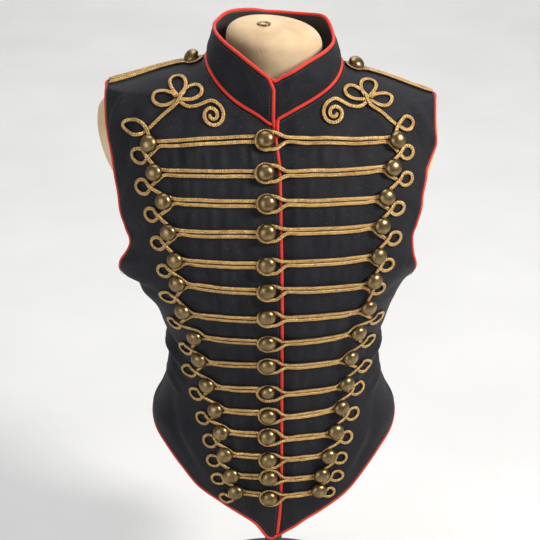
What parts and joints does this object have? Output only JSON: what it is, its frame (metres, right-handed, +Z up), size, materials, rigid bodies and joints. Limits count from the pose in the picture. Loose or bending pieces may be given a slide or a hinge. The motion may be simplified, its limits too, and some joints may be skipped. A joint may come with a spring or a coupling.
{
  "type": "hussar waistcoat on dress form",
  "caption": "Sleeveless black hussar waistcoat with a stand collar, pointed hem, gold cord rows with rings and domed buttons, worn by a limbless dress form on a stand.",
  "frame": {"origin": "middle of the stand's base at the floor", "axes": "+Z up, +X towards the wearer's left, -Y the way the chest faces"},
  "size_m": [0.3961, 0.3, 0.817],
  "materials": {
    "cloth": "matt black wool",
    "piping": "matt red cord",
    "gold_cord": "twisted metallic thread",
    "brass": "aged, soft polish",
    "stockinette": "matt knitted cover",
    "stand": "black semi-matt"
  },
  "bodies": {
    "root": {"stand": "stand", "dress_form": "stockinette", "front_right": "cloth", "front_left": "cloth", "back": "cloth", "collar": "cloth", "edge_piping": "piping", "armhole_piping_right": "piping", "armhole_piping_left": "piping", "braid_right": "gold_cord", "shoulder_cord_right": "gold_cord", "button_shoulder_right": "brass", "braid_left": "gold_cord", "shoulder_cord_left": "gold_cord", "button_shoulder_left": "brass", "button_centre_01": "brass", "button_right_01": "brass", "button_left_01": "brass", "button_centre_02": "brass", "button_right_02": "brass", "button_left_02": "brass", "button_centre_03": "brass", "button_right_03": "brass", "button_left_03": "brass", "button_centre_04": "brass", "button_right_04": "brass", "button_left_04": "brass", "button_centre_05": "brass", "button_right_05": "brass", "button_left_05": "brass", "button_centre_06": "brass", "button_right_06": "brass", "button_left_06": "brass", "button_centre_07": "brass", "button_right_07": "brass", "button_left_07": "brass", "button_centre_08": "brass", "button_right_08": "brass", "button_left_08": "brass", "button_centre_09": "brass", "button_right_09": "brass", "button_left_09": "brass", "button_centre_10": "brass", "button_right_10": "brass", "button_left_10": "brass", "button_centre_11": "brass", "button_right_11": "brass", "button_left_11": "brass", "button_centre_12": "brass", "button_right_12": "brass", "button_left_12": "brass", "button_centre_13": "brass", "button_right_13": "brass", "button_left_13": "brass", "button_centre_14": "brass", "button_right_14": "brass", "button_left_14": "brass", "button_centre_15": "brass", "button_right_15": "brass", "button_left_15": "brass"}
  },
  "joints": []
}
